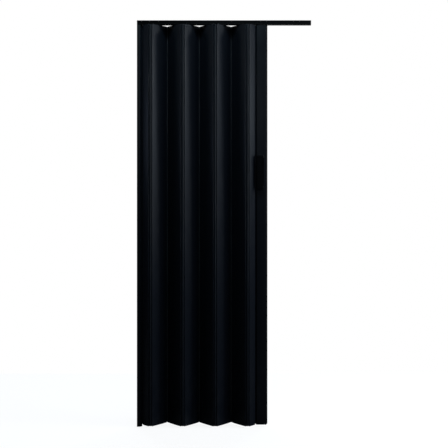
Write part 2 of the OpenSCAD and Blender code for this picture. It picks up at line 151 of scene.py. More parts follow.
# Softboxes: name, degrees to the right of the front, distance, height, height aimed at, size, watts, colour
LAMPS = [
    ("over_middle", 0, 1.3, 3.8, 1.6, (1.2, 0.4), 40, (0.57, 0.83, 1)),
    ("over_front", 0, 2.0, 3.8, 1.6, (1.2, 0.4), 5, (0.7, 0.9, 1)),
    ("front", 0, 3.2, 2.6, 1.6, (1.2, 0.5), 6.8, (0.8, 0.9, 1)),
    ("right_high", 82, 3.0, 3.2, 1.6, (0.5, 0.9), 34.2, (0.86, 0.94, 1)),
    ("right_middle", 76, 3.0, 2.2, 1.6, (0.5, 0.9), 34.2, (0.77, 0.88, 1)),
    ("right_low", 70, 3.0, 1.2, 1.2, (0.5, 0.9), 30.7, (0.85, 0.93, 1)),
    ("right_front", 58, 3.0, 2.4, 1.6, (0.5, 0.9), 19.8, (0.97, 0.98, 1)),
    ("right_back", 94, 3.0, 2.2, 1.6, (0.5, 0.9), 10, (0.79, 0.9, 1)),
    ("floor_right", 50, 3.0, 0.5, 0.8, (0.5, 0.5), 8.3, (0.3, 0.52, 1)),
    ("floor_front", 30, 3.0, 0.5, 0.8, (0.5, 0.5), 2.8, (0.55, 0.91, 1)),
    ("left_high", -76, 3.0, 3.2, 1.6, (0.6, 0.9), 14, (0.84, 0.93, 1)),
    ("left_middle", -88, 3.0, 2.0, 1.6, (0.6, 0.9), 9.4, (0.56, 0.7, 1)),
    ("back_over", 180, 1.3, 3.8, 1.6, (1.2, 0.4), 40, (0.57, 0.83, 1)),
    ("back_left", 150, 3.0, 2.4, 1.4, (0.5, 0.9), 27.2, (0.84, 0.92, 1)),
    ("back_right", -150, 3.0, 2.4, 1.4, (0.5, 0.9), 27.2, (0.84, 0.92, 1)),
]
FLOOR = (1.7, -0.9, 1.3)   # half width, front and back
FLOOR_GREY = 0.12
FLOOR_GLOW = 0.88          # light added for the camera and mirrors, which makes it white but for the shadow
BACKDROP = (0.3, 0.8)      # Y from which mirrors see the white backdrop, first faintly and then in full
SENSOR_MM = 36.0
FRAME_PX = 448
FOCAL_PX = 914.7
HORIZON_PX = 188.48        # row of the frame at the camera's height
CAMERA_DISTANCE = 4.58
EYE_HEIGHT = 1.19

joints = {j["name"]: j for j in frame["joints"]}
mounts = {m["name"]: m for m in frame["record"]["mounts"]}


def axis_of(name):
    """Plan position (x, y) of a hinge axis."""
    return np.array(joints[name]["pos_m"][:2])


FULL = sum(1 for n in frame["nodes"] if n.startswith("panel_"))  # number of full panels
wall_axis, lead_axis = axis_of("wall_hinge"), axis_of("lead_hinge")
folds = [axis_of(f"fold_{i}") for i in range(1, FULL + 2)]

# Bodies of the panels, from the wall to the lead post
chain = ["left_half"] + [f"leaf_{i}" for i in range(1, FULL + 1)] + ["right_half"]

# Two neighbouring fold axes lie a panel's width apart along it and its thickness apart across it
PANEL_W = math.sqrt(np.sum((folds[1] - folds[0]) ** 2) - PANEL_T ** 2)
FOLD = math.atan2(wall_axis[1] - folds[0][1], folds[0][0] - wall_axis[0]) + math.atan2(PANEL_T, PANEL_W)
FULL_L = PANEL_W - 2 * END_GAP
HALF_L = PANEL_W / 2 - END_GAP - MID_GAP
WEB_Y = math.sqrt(WEB_R ** 2 - END_GAP ** 2)
SLOT_HALF = WEB_T / 2 + FIT


def arc(centre, radius, start, end, steps):
    """Points centre + radius (cos a, sin a), with the angle a in steps from start to end."""
    a = np.linspace(start, end, steps + 1)
    return np.column_stack([centre[0] + radius * np.cos(a), centre[1] + radius * np.sin(a)])


def without_repeats(loop):
    """The loop without points that lie on the one before them."""
    step = np.linalg.norm(loop - np.roll(loop, 1, 0), axis=1)
    return loop[step > SAME_POINT]


def rounded(rows, steps=6):
    """Closed outline through the corners in the rows (x, y, r), each turned into an arc of radius r.

    The arc touches both edges at r over the tangent of half the corner's angle from the corner, and its
    centre lies on the corner's bisector, at r over the sine of that half angle.
    """
    rows = np.asarray(rows, float)
    p, r = rows[:, :2], rows[:, 2]
    back, on = np.roll(p, 1, 0) - p, np.roll(p, -1, 0) - p
    back /= np.linalg.norm(back, axis=1)[:, None]
    on /= np.linalg.norm(on, axis=1)[:, None]
    half = np.arccos(np.clip(np.sum(back * on, 1), -1, 1)) / 2
    bisector = back + on
    length = np.linalg.norm(bisector, axis=1)
    bisector /= np.where(length > 1e-9, length, 1)[:, None]
    reach = (r / np.tan(np.maximum(half, 1e-6)))[:, None]
    centre = p + bisector * (r / np.sin(np.maximum(half, 1e-6)))[:, None]
    first, last = p + back * reach - centre, p + on * reach - centre
    turn = np.arctan2(first[:, 0] * last[:, 1] - first[:, 1] * last[:, 0], np.sum(first * last, 1))
    s = np.linspace(0, 1, steps + 1)[None, :] * turn[:, None]
    x = centre[:, 0, None] + first[:, 0, None] * np.cos(s) - first[:, 1, None] * np.sin(s)
    y = centre[:, 1, None] + first[:, 0, None] * np.sin(s) + first[:, 1, None] * np.cos(s)
    return without_repeats(np.column_stack([x.ravel(), y.ravel()]))


def corners(points, radius=0.0):
    """Rows (x, y, r) for rounded, with one radius for all the points."""
    points = np.asarray(points, float)
    return np.column_stack([points, np.full(len(points), radius)])


def area(loop):
    """Signed area of a loop: half the sum of the cross products of its neighbouring points."""
    x, y = loop[:, 0], loop[:, 1]
    return 0.5 * np.sum(x * np.roll(y, -1) - np.roll(x, -1) * y)


def inset(loop, distance):
    """The loop moved by the distance to its left.

    Each point moves along the sum of the unit normals of its two edges, by 2 distance over the square of that
    sum, which moves both edges by the distance. Where the loop turns by more than 120 degrees it moves less.
    """
    back, on = loop - np.roll(loop, 1, 0), np.roll(loop, -1, 0) - loop
    back /= np.linalg.norm(back, axis=1)[:, None]
    on /= np.linalg.norm(on, axis=1)[:, None]
    left = np.column_stack([-(back + on)[:, 1], (back + on)[:, 0]])
    stretch = 2 / np.maximum(np.sum((back + on) ** 2, 1), 1.0)
    return loop + left * (distance * stretch)[:, None]


def placed(loops, origin, angle=0.0, flip=False):
    """The loops of a section, mirrored across their length if flip is set, turned and moved to origin."""
    c, s = math.cos(angle), math.sin(angle)
    turn = np.array([[c, s], [-s, c]])
    sign = np.array([1, -1 if flip else 1])
    return [(loop * sign) @ turn + np.asarray(origin) for loop in loops]


def filled(loops):
    """Triangles that fill a section between its outline and its hollows, as rows of three point numbers.

    A row whose cross product is negative runs clockwise and is turned round.
    """
    rows = np.array(tessellate_polygon([[Vector((x, y, 0)) for x, y in loop] for loop in loops]))
    a, b, c = (np.concatenate(loops)[rows[:, k]] for k in range(3))
    clockwise = (b - a)[:, 0] * (c - a)[:, 1] < (b - a)[:, 1] * (c - a)[:, 0]
    rows[clockwise] = rows[clockwise, ::-1]
    return rows


def extruded(name, loops, low, high, edge=EDGE_R, along="z", steps=2):
    """A section carried from low to high along an axis, with its end edges rounded by the radius edge.

    The first loop is the outline and the others are hollows. The rings near each end are the section moved
    into the material by edge (1 - sin t) at the height edge (1 - cos t), with t from 0 to a quarter turn.
    """
    turned = [loop if (area(loop) > 0) == (i == 0) else loop[::-1] for i, loop in enumerate(loops)]
    t = np.linspace(0, math.pi / 2, steps + 1) if edge else np.array([math.pi / 2])
    rings = [(low + edge * (1 - math.cos(a)), edge * (1 - math.sin(a))) for a in t]
    rings += [(high - edge * (1 - math.cos(a)), edge * (1 - math.sin(a))) for a in t[::-1]]
    size = sum(len(loop) for loop in turned)
    points = np.concatenate([
        np.column_stack([np.concatenate([inset(loop, d) for loop in turned]), np.full(size, z)])
        for z, d in rings
    ])
    faces, first = [], 0
    for loop in turned:
        i = np.arange(len(loop))
        j = (i + 1) % len(loop)
        for ring in range(len(rings) - 1):
            a, b = first + ring * size, first + (ring + 1) * size
            faces.append(np.column_stack([a + i, a + j, b + j, b + i]))
        first += len(loop)
    cap = filled([inset(loop, rings[0][1]) for loop in turned])
    top = cap + (len(rings) - 1) * size
    faces = np.concatenate(faces).tolist() + top.tolist() + cap[:, ::-1].tolist()
    order = {"z": [0, 1, 2], "x": [2, 0, 1], "y": [0, 2, 1]}[along]
    if along == "y":
        faces = [face[::-1] for face in faces]
    return solid(name, points[:, order], faces)


def shaded(mesh):
    """The mesh, smooth except where two faces meet by more than SMOOTH_DEG."""
    mesh.shade_smooth()
    mesh.set_sharp_from_angle(angle=math.radians(SMOOTH_DEG))
    return mesh


def solid(name, points, faces):
    """A mesh object from points and faces."""
    mesh = bpy.data.meshes.new(name)
    mesh.from_pydata(np.asarray(points).tolist(), [], faces)
    mesh.validate()
    piece = bpy.data.objects.new(name, shaded(mesh))
    bpy.context.scene.collection.objects.link(piece)
    return piece


def cut(piece, *tools):
    """The piece less the space of each tool, which is then deleted."""
    for tool in tools:
        difference = piece.modifiers.new("cut", "BOOLEAN")
        difference.operation = "DIFFERENCE"
        difference.solver = "MANIFOLD"
        difference.object = tool
    mesh = bpy.data.meshes.new_from_object(piece.evaluated_get(bpy.context.evaluated_depsgraph_get()))
    piece.modifiers.clear()
    piece.data = shaded(mesh)
    for tool in tools:
        bpy.data.objects.remove(tool)
    return piece


def drill(centre, radius, low, high, along):
    """A round tool for cut: a circle of the radius about centre, from low to high along an axis."""
    return extruded("drill", [arc(centre, radius, 0, 2 * math.pi, 32)[:-1]], low, high, 0, along)


def channel(cord_in, cord_y, cord_r, slot_y, slot_half, mouth_r=MOUTH_R):
    """Corners of a keyhole channel, from one side of its mouth to the other.

    x goes in from the end face and y across it. Two lines lie slot_half to each side of slot_y, up to where
    they meet the circle of radius cord_r about (cord_in, cord_y), and the far arc of that circle joins them.
    """
    y = np.array([slot_y - slot_half, slot_y + slot_half])
    x = cord_in - np.sqrt(cord_r ** 2 - (y - cord_y) ** 2)
    start, end = np.arctan2(y - cord_y, x - cord_in)
    end = end if end > start else end + 2 * math.pi
    room = corners(arc((cord_in, cord_y), cord_r, start, end, 20))
    return np.concatenate([[(0, y[0], mouth_r)], room, [(0, y[1], mouth_r)]])


FOLD_CHANNEL = channel(CORD_IN, WEB_Y, CORD_R + FIT, WEB_Y, SLOT_HALF)
NOSE_CHANNEL = channel(NOSE_CORD_IN, 0, NOSE_CORD_R + FIT, 0, SLOT_HALF)
SEAL_CHANNEL = channel(SEAL_CORD_IN, 0, SEAL_CORD_R + FIT, 0, SLOT_HALF)


def moved(rows, x, y, sx=1, sy=1):
    """Rows (x, y, r) scaled by sx and sy, each 1 or -1, and then moved."""
    return rows * np.array([sx, sy, 1]) + np.array([x, y, 0])


def rise(u, length, crown):
    """Half thickness of a crowned section: half of PANEL_T plus crown (1 - (2u / length)^2)."""
    return PANEL_T / 2 + crown * (1 - (2 * u / length) ** 2)


def cell(start, end, half_start, half_end):
    """A hollow between two ribs, from start to end, with its half height at each."""
    return rounded(corners([(start, -half_start), (end, -half_end), (end, half_end), (start, half_start)],
                           CELL_R))


def full_section():
    """A full panel about its middle: its left hinge axis is behind it and its right one before it."""
    u = np.linspace(-FULL_L / 2, FULL_L / 2, 34)[1:-1]
    face = rise(u, FULL_L, CROWN)
    end, side = FULL_L / 2, PANEL_T / 2
    outline = rounded(np.concatenate([
        [(-end, -side, OUTER_R)], corners(np.column_stack([u, -face])), [(end, -side, INNER_R)],
        moved(FOLD_CHANNEL, end, -side, -1, 1), [(end, side, OUTER_R)],
        corners(np.column_stack([u, face])[::-1]), [(-end, side, INNER_R)],
        moved(FOLD_CHANNEL, -end, side, 1, -1),
    ]))
    width = (FULL_L - 2 * SOLID_END - (CELLS - 1) * RIB) / CELLS
    cells = []
    for i in range(CELLS):
        a = -end + SOLID_END + i * (width + RIB)
        b = a + width
        cells.append(cell(a, b, rise(a, FULL_L, CROWN) - SKIN, rise(b, FULL_L, CROWN) - SKIN))
    return [outline] + cells


def half_section():
    """The right half panel, with the lead post's hinge axis at the origin.

    Its half thickness is the smooth minimum, -k ln(exp(-a / k) + exp(-b / k)), of its crowned face a and
    of the taper b to its nose.
    """
    end = -PANEL_W / 2 + END_GAP
    past_corner = end + 1.2 * OUTER_R
    u = np.linspace(past_corner, -MID_GAP, 48)[:-1]
    crowned = rise(u + MID_GAP + HALF_L / 2, HALF_L, HALF_CROWN)
    taper = NOSE_HALF + (PANEL_T / 2 + HALF_CROWN - NOSE_HALF) * (-MID_GAP - u) / NOSE_L
    k = NOSE_BLEND
    face = -k * np.log(np.exp(-crowned / k) + np.exp(-taper / k))
    outline = rounded(np.concatenate([
        [(end, -PANEL_T / 2, OUTER_R)], corners(np.column_stack([u, -face])),
        [(-MID_GAP, -NOSE_HALF, NOSE_R)], moved(NOSE_CHANNEL, -MID_GAP, 0, -1, 1),
        [(-MID_GAP, NOSE_HALF, NOSE_R)], corners(np.column_stack([u, face])[::-1]),
        [(end, PANEL_T / 2, INNER_R)], moved(FOLD_CHANNEL, end, PANEL_T / 2, 1, -1),
    ]))
    a = end + SOLID_END
    width = (-MID_GAP - NOSE_L - OUTER_R - a - RIB) / 2
    h = PANEL_T / 2 - SKIN
    return [outline] + [cell(x, x + width, h, h) for x in (a, a + width + RIB)]


def both_sides(right):
    """A line of points in the right panel's frame, turned into place, and its mirror image run backwards."""
    c, s = math.cos(-FOLD), math.sin(-FOLD)
    right = np.asarray(right) @ np.array([[c, s], [-s, c]])
    return right, (right * [-1, 1])[::-1]


def outer_web_section():
    """The part of a fold's strip that shows on its outside, open towards +Y.

    It is a web of radius WEB_R about the hinge axis, with a corded leg in the channel of each panel.
    """
    cord = channel(END_GAP + CORD_IN, WEB_Y, CORD_R, WEB_Y, WEB_T / 2, 0)[1:-1, :2]
    mouth = END_GAP - WEB_CLEAR
    right, left = both_sides([(mouth, WEB_Y - WEB_T / 2), *cord, (mouth, WEB_Y + WEB_T / 2)])
    reach = FOLD + math.asin(mouth / (WEB_R + WEB_T / 2))
    quarter = math.pi / 2
    inner = arc((0, 0), WEB_R - WEB_T / 2, quarter + reach, quarter - reach, 48)
    outer = arc((0, 0), WEB_R + WEB_T / 2, quarter - reach, quarter + reach, 48)
    return [without_repeats(np.concatenate([inner[1:-1], right, outer[1:-1], left]))]


def inner_web_section():
    """The part of a fold's strip between the end faces: a side along each, joined by a web round the axis."""
    wide, top = END_GAP - WEB_CLEAR, WEB_Y - WEB_T / 2 - WEB_REST
    narrow = wide - WEB_T
    right, left = both_sides([(wide, top), (wide, 0)])
    inner_right, inner_left = both_sides([(narrow, 0), (narrow, top)])
    outer = arc((0, 0), wide, -FOLD, FOLD - math.pi, 24)
    inner = arc((0, 0), narrow, FOLD - math.pi, -FOLD, 24)
    return [np.concatenate([right, outer[1:-1], left, inner_left, inner[1:-1], inner_right])]


def post_strip_section(angles):
    """A strip at a post: a round core on the axis and a corded leg at each of two angles."""
    half = WEB_T / 2
    start = math.sqrt(CORE_R ** 2 - half ** 2)
    cord = channel(MID_GAP + NOSE_CORD_IN, 0, NOSE_CORD_R, 0, half, 0)[1:-1, :2]
    leg = np.concatenate([[(start, -half)], cord, [(start, half)]])
    lean = math.asin(half / CORE_R)
    parts = []
    for here, there in (angles, angles[::-1]):
        c, s = math.cos(here), math.sin(here)
        parts.append(leg @ np.array([[c, s], [-s, c]]))
        gap = (there - here) % (2 * math.pi)
        parts.append(arc((0, 0), CORE_R, here + lean, here + gap - lean, 12)[1:-1])
    return [without_repeats(np.concatenate(parts))]


def lead_section():
    """The lead post with the last hinge axis at the origin: a nose, two cells, and a channel for the seal."""
    edge, t = LEAD_W - SEAL_W, LEAD_T / 2
    outline = rounded(np.concatenate([
        [(MID_GAP, -NOSE_HALF, NOSE_R), (LEAD_SHOULDER, -t, SHOULDER_R), (edge, -t, OUTER_R)],
        moved(SEAL_CHANNEL, edge, 0, -1, 1),
        [(edge, t, OUTER_R), (LEAD_SHOULDER, t, SHOULDER_R), (MID_GAP, NOSE_HALF, NOSE_R)],
        moved(NOSE_CHANNEL, MID_GAP, 0, 1, -1),
    ]))
    a = LEAD_SHOULDER + LEAD_CELL_IN
    width = (edge - LEAD_BLOCK - a - LEAD_RIB) / 2
    h = t - LEAD_SKIN
    return [outline] + [cell(x, x + width, h, h) for x in (a, a + width + LEAD_RIB)]


def seal_section():
    """The seal: a D-shaped hollow bulb beyond the post's edge, a web and a cord in the post's channel."""
    edge, centre = LEAD_W - SEAL_W, LEAD_W - SEAL_R
    flat = edge + SEAL_GAP
    lean = math.acos((flat - centre) / SEAL_R)
    inner_r, inner_flat = SEAL_R - SEAL_WALL, flat + SEAL_WALL
    inner_lean = math.acos((inner_flat - centre) / inner_r)
    cord = channel(SEAL_CORD_IN, 0, SEAL_CORD_R, 0, WEB_T / 2, 0)[1:-1, :2]
    leg = np.concatenate([[(0, -WEB_T / 2)], cord, [(0, WEB_T / 2)]]) * [-1, 1] + [edge, 0]
    outline = np.concatenate([arc((centre, 0), SEAL_R, -lean, lean, 28),
                              [(flat, WEB_T / 2)], leg[::-1], [(flat, -WEB_T / 2)]])
    return [without_repeats(outline), arc((centre, 0), inner_r, -inner_lean, inner_lean, 20)]


def jamb_section(x0, width, nose_x, shoulder):
    """The jamb post: a U that slides into the wall channel, closed by a tapered nose on the hinge side."""
    t, inner = width / 2, width / 2 - POST_WALL
    deep = shoulder - SHOULDER_GAP
    return [rounded(np.concatenate([
        [(x0, -t, NOSE_R), (shoulder, -t, SHOULDER_R), (nose_x, -NOSE_HALF, NOSE_R)],
        moved(NOSE_CHANNEL, nose_x, 0, -1, 1),
        [(nose_x, NOSE_HALF, NOSE_R), (shoulder, t, SHOULDER_R), (x0, t, NOSE_R)],
        corners([(x0, inner), (deep, inner), (deep, -inner), (x0, -inner)], NOSE_R),
    ]))]


def wall_channel_section(low, high):
    """The wall channel, a U with its back to the wall and its mouth towards the door."""
    (x0, y0), (x1, y1) = low, high
    w, r = CHANNEL_WALL, NOSE_R
    return [rounded(corners([(x0, y0), (x1, y0), (x1, y0 + w), (x0 + w, y0 + w),
                             (x0 + w, y1 - w), (x1, y1 - w), (x1, y1), (x0, y1)], r))]


def track_section(low, high):
    """The track across its length, in Y and Z: a box with a slot below and a groove along each face."""
    t, h, w, slot = high[0], high[1] - low[1], TRACK_WALL, TRACK_SLOT / 2
    groove = (h - GROOVE_H) / 2 - GROOVE_DROP
    r = TRACK_INNER_R
    side = [(slot, 0, LIP_R), (t, 0, TRACK_R), (t, groove, r), (t - GROOVE_D, groove, r),
            (t - GROOVE_D, groove + GROOVE_H, r), (t, groove + GROOVE_H, r), (t, h, TRACK_R)]
    inside = [(t - w, h - w, r), (t - w, w, r), (slot, w, LIP_R)]
    mirrored = [(-y, z, q) for y, z, q in side[::-1]]
    within = [(-y, z, q) for y, z, q in inside[::-1]]
    return [rounded(side + mirrored + within + inside) + [0, low[1]]]


def stand_for(piece, node, body, material):
    """Puts a rigid piece in the place of a node: it rides on the body and shows the material."""
    piece.data.materials.clear()
    piece.data.materials.append(material)
    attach(piece, body)
    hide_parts(node)


def strip(name, node, section, origin, material, turn=False):
    """A soft strip: its section extruded about its axis over the height of the node, with the material."""
    low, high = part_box(node)
    piece = extruded(name, placed(section, origin, 0, turn), low.z, high.z, FINE_EDGE_R)
    piece.data.materials.append(material)
    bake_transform(piece)
    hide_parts(node)


class Shader:
    """A node material built one node at a time, with a Principled shader at its end."""

    def __init__(self, name, roughness, specular=0.5, metallic=0.0):
        self.material = bpy.data.materials.new(name)
        self.material.use_nodes = True
        self.tree = self.material.node_tree
        self.main = next(n for n in self.tree.nodes if n.type == "BSDF_PRINCIPLED")
        self.main.inputs["Roughness"].default_value = roughness
        self.main.inputs["Specular IOR Level"].default_value = specular
        self.main.inputs["Metallic"].default_value = metallic
        self.place = self.add("ShaderNodeTexCoord").outputs["Object"]

    def add(self, kind, **settings):
        """A new node with its properties, or its inputs, set by name."""
        node = self.tree.nodes.new(kind)
        for key, value in settings.items():
            if hasattr(node, key):
                setattr(node, key, value)
            else:
                node.inputs[key.replace("_", " ")].default_value = value
        return node

    def link(self, a, b):
        """Joins an output to an input."""
        self.tree.links.new(a, b)

    def noise(self, scale, stretch=(1, 1, 1), detail=2.0):
        """Noise of a scale in cycles a metre, drawn out along an axis whose stretch is under 1."""
        mapping = self.add("ShaderNodeMapping", Scale=stretch)
        self.link(self.place, mapping.inputs["Vector"])
        noise = self.add("ShaderNodeTexNoise", Scale=scale, Detail=detail)
        self.link(mapping.outputs["Vector"], noise.inputs["Vector"])
        return noise.outputs["Fac"]

    def between(self, value, low, high, out_low, out_high):
        """The value carried from the span low to high onto the span out_low to out_high, and held there."""
        span = self.add("ShaderNodeMapRange", From_Min=low, From_Max=high, To_Min=out_low, To_Max=out_high)
        self.link(value, span.inputs["Value"])
        return span.outputs["Result"]

    def times(self, a, b):
        """The product of two values."""
        node = self.add("ShaderNodeMath", operation="MULTIPLY")
        self.link(a, node.inputs[0])
        self.link(b, node.inputs[1])
        return node.outputs[0]

    def colour(self, factor, low, high):
        """Sets the base colour between two colours by a factor."""
        mix = self.add("ShaderNodeMix", data_type="RGBA")
        mix.inputs["A"].default_value = (*low, 1)
        mix.inputs["B"].default_value = (*high, 1)
        self.link(factor, mix.inputs["Factor"])
        self.link(mix.outputs["Result"], self.main.inputs["Base Color"])

    def relief(self, *layers):
        """Stacks bumps, each (height, depth in metres)."""
        normal = None
        for height, depth in layers:
            bump = self.add("ShaderNodeBump", Strength=1.0, Distance=depth)
            self.link(height, bump.inputs["Height"])
            if normal:
                self.link(normal, bump.inputs["Normal"])
            normal = bump.outputs["Normal"]
        self.link(normal, self.main.inputs["Normal"])


def extruded_plastic(name, deep, pale, roughness, specular, run):
    """Rigid PVC drawn through a die: fine lines along its run, a slow ripple and an uneven satin sheen.

    Near the floor the colour goes a little towards the pale one, where feet and dust have dulled it.
    """
    s = Shader(name, roughness, specular)
    lines = s.noise(1800, tuple(0.004 if axis == run else 1 for axis in "xyz"))
    ripple = s.noise(9, tuple(0.25 if axis == run else 1 for axis in "xyz"), 1.0)
    cloud = s.noise(26, (1, 1, 0.5), 4.0)
    height = s.add("ShaderNodeSeparateXYZ")
    s.link(s.place, height.inputs[0])
    low = s.between(height.outputs["Z"], 0.0, 0.35, 1.0, 0.0)
    dust = s.times(low, s.between(cloud, 0.45, 0.75, 0.0, 1.0))
    s.colour(dust, deep, pale)
    s.link(s.between(cloud, 0.3, 0.7, roughness - 0.03, roughness + 0.05), s.main.inputs["Roughness"])
    s.relief((ripple, 0.25 * MM), (lines, 0.012 * MM))
    return s.material


def moulded_plastic(name, deep, pale, roughness, specular):
    """Injection-moulded plastic with the grain of an etched mould, polished a little where it is held."""
    s = Shader(name, roughness, specular)
    grain = s.noise(2600, detail=1.0)
    wear = s.noise(45, detail=3.0)
    s.colour(s.between(wear, 0.4, 0.8, 0.0, 1.0), deep, pale)
    s.link(s.between(wear, 0.35, 0.7, roughness, roughness - 0.08), s.main.inputs["Roughness"])
    s.relief((grain, 0.03 * MM))
    return s.material


def soft_plastic(name, deep, pale, roughness, specular):
    """Soft PVC with fine drawing lines and patches of faint bloom, a little duller than the rest."""
    s = Shader(name, roughness, specular)
    lines = s.noise(2600, (1, 1, 0.003))
    bloom = s.noise(60, (1, 1, 0.2), 3.0)
    s.colour(s.between(bloom, 0.4, 0.8, 0.0, 1.0), deep, pale)
    s.link(s.between(bloom, 0.3, 0.7, roughness - 0.03, roughness + 0.06), s.main.inputs["Roughness"])
    s.relief((lines, 0.01 * MM))
    return s.material


def natural_nylon(name):
    """Milky nylon, a little rubbed and greyed by the track."""
    s = Shader(name, 0.42)
    smear = s.noise(160, (1, 0.2, 1), 3.0)
    s.colour(s.between(smear, 0.45, 0.8, 0.0, 1.0), (0.72, 0.71, 0.67), (0.42, 0.41, 0.39))
    s.relief((s.noise(1500), 0.01 * MM))
    return s.material


def plated_steel(name):
    """Zinc-plated steel with fine turning marks and a cloudy plate."""
    s = Shader(name, 0.3, metallic=1.0)
    cloud = s.noise(500, detail=3.0)
    s.colour(s.between(cloud, 0.35, 0.75, 0.0, 1.0), (0.58, 0.59, 0.6), (0.44, 0.45, 0.44))
    s.link(s.between(cloud, 0.3, 0.7, 0.24, 0.4), s.main.inputs["Roughness"])
    s.relief((s.noise(3000, (1, 0.05, 1)), 0.008 * MM))
    return s.material


panel_pvc = extruded_plastic("satin_black_pvc", (0.0042, 0.0052, 0.0074), (0.008, 0.009, 0.011),
                             0.34, 0.07, "z")
track_pvc = extruded_plastic("track_black_pvc", (0.0022, 0.0022, 0.0024), (0.004, 0.004, 0.0045),
                             0.4, 0.04, "x")
wall_pvc = extruded_plastic("channel_black_pvc", (0.006, 0.0059, 0.0068), (0.009, 0.009, 0.01),
                            0.36, 0.1, "z")
post_pvc = extruded_plastic("post_black_pvc", (0.0036, 0.0041, 0.0053), (0.008, 0.009, 0.011),
                            0.34, 0.07, "z")
soft_pvc = soft_plastic("soft_black_pvc", (0.0046, 0.0056, 0.0074), (0.006, 0.007, 0.009), 0.4, 0.08)
# A lighter, glossier copy of the soft PVC: a painted highlight that makes the inner web show as a bright line in
# each valley
inner_web_highlight_pvc = soft_plastic("soft_black_pvc_painted_highlight", (0.0095, 0.01, 0.0112), (0.013, 0.0135, 0.0145),
                        0.34, 0.3)
seal_pvc = soft_plastic("seal_black_pvc", (0.001, 0.0011, 0.0014), (0.002, 0.002, 0.0024), 0.7, 0.005)
handle_plastic = moulded_plastic("handle_black", (0.0007, 0.0009, 0.0013), (0.0018, 0.002, 0.0025),
                                 0.45, 0.05)
nylon = natural_nylon("natural_nylon")
steel = plated_steel("plated_steel")


def mount_span(name, key):
    """A spacing of a mount in metres."""
    return mounts[name]["dims"][key] * MM


def make_panels():
    """The full panels between their folds and the half panels beside the posts."""
    section = full_section()
    for k in range(1, FULL + 1):
        node = f"panel_{k}"
        low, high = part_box(node)
        forward = k % 2 == 1
        middle = (folds[k - 1] + folds[k]) / 2
        loops = placed(section, middle, FOLD if forward else -FOLD, not forward)
        piece = extruded(f"{node}_leaf", loops, low.z, high.z)
        stand_for(piece, node, f"leaf_{k}", panel_pvc)
    half = half_section()
    low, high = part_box("right_half_panel")
    piece = extruded("right_half_leaf", placed(half, lead_axis, FOLD), low.z, high.z)
    stand_for(piece, "right_half_panel", "right_half", panel_pvc)
    mirrored = [loop * [-1, 1] for loop in half]
    piece = extruded("left_half_leaf", placed(mirrored, wall_axis, -FOLD), low.z, high.z)
    stand_for(piece, "left_half_panel", "left_half", panel_pvc)


def make_strips():
    """The soft strips at the folds, each of an outer and an inner web, and at the two posts."""
    outer, inner = outer_web_section(), inner_web_section()
    for j, axis in enumerate(folds, 1):
        node, bodies, front = f"hinge_strip_{j}", (chain[j - 1], chain[j]), j % 2 == 1
        strip(f"fold_{j}_outer_web", node, outer, axis, soft_pvc, front)
        # the inner web takes the soft PVC's lighter copy, a painted highlight
        strip(f"fold_{j}_inner_web", node, inner, axis, inner_web_highlight_pvc, front)
    strip("wall_strip", "wall_hinge_strip", post_strip_section((math.pi, -FOLD)), wall_axis,
          soft_pvc)
    strip("lead_strip", "lead_hinge_strip", post_strip_section((0.0, math.pi + FOLD)), lead_axis,
          soft_pvc)


def make_lead_post():
    """The lead post, the cap below it and the seal along its free edge."""
    low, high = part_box("lead_post")
    piece = extruded("lead_stile", placed(lead_section(), lead_axis), low.z, high.z)
    stand_for(piece, "lead_post", "lead", post_pvc)
    low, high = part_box("lead_seal")
    piece = extruded("lead_bulb_seal", placed(seal_section(), lead_axis), low.z, high.z)
    stand_for(piece, "lead_seal", "lead", seal_pvc)


def make_wall_side():
    """The channel on the wall, with its screw holes, and the post that slides into it."""
    low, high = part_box("wall_channel")
    section = wall_channel_section((low.x, low.y), (high.x, high.y))
    piece = extruded("wall_side_channel", section, low.z, high.z)
    span = mount_span("wall_screws_outer", "spacing_y_mm")
    centre = mounts["wall_screws_outer"]["pos_m"][2]
    tools = [drill((0, centre + share * span / 2), HOLE_R, low.x - MM, low.x + 2 * CHANNEL_WALL, "x")
             for share in SCREWS]
    stand_for(cut(piece, *tools), "wall_channel", "frame", wall_pvc)
    shoulder = high.x + SHOULDER_GAP
    low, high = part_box("jamb_post")
    section = jamb_section(low.x, high.y - low.y, wall_axis[0] - MID_GAP, shoulder)
    piece = extruded("jamb_stile", section, low.z, high.z)
    stand_for(piece, "jamb_post", "frame", panel_pvc)


def make_track():
    """The track with its screw holes."""
    low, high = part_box("track")
    piece = extruded("top_track", track_section((low.y, low.z), (high.y, high.z)), low.x, high.x,
                     FINE_EDGE_R, "x")
    span = mount_span("track_screws_outer", "spacing_x_mm")
    tools = [drill((share * span / 2, 0), HOLE_R, high.z - 2 * TRACK_WALL, high.z + MM, "z")
             for share in SCREWS]
    stand_for(cut(piece, *tools), "track", "frame", track_pvc)


def handle(name, node, side):
    """A pull handle: a rounded block with a finger gap behind its grip, open on the right.

    side is -1 for the front handle and 1 for the back one, which is its mirror image.
    """
    low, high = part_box(node)
    depth = high.y - low.y
    base = LEAD_T / 2
    outline = rounded(corners([(low.x, low.z), (high.x, low.z), (high.x, high.z), (low.x, high.z)],
                              HANDLE_CORNER_R), 10)
    block = extruded(name, [outline], *sorted((side * base, side * (base + depth))), HANDLE_EDGE_R, "y", 6)
    grip = depth - GRIP_T
    free = high.x - GRIP_BACK
    past = 10 * MM  # how far the tool reaches out of the handle
    gap = rounded([
        (low.x + SIDE_T, BASE_T, GAP_R / 2), (high.x + past, BASE_T, 0), (high.x + past, depth + past, 0),
        (free, depth + past, 0), (free, grip, FREE_EDGE_R), (low.x + SIDE_T, grip, GAP_R),
    ])
    tool = extruded("finger_gap", [gap * [1, side] + [0, side * base]],
                    low.z + BLOCK_H, high.z - BLOCK_H, GAP_END_R, "z", 4)
    return cut(block, tool)


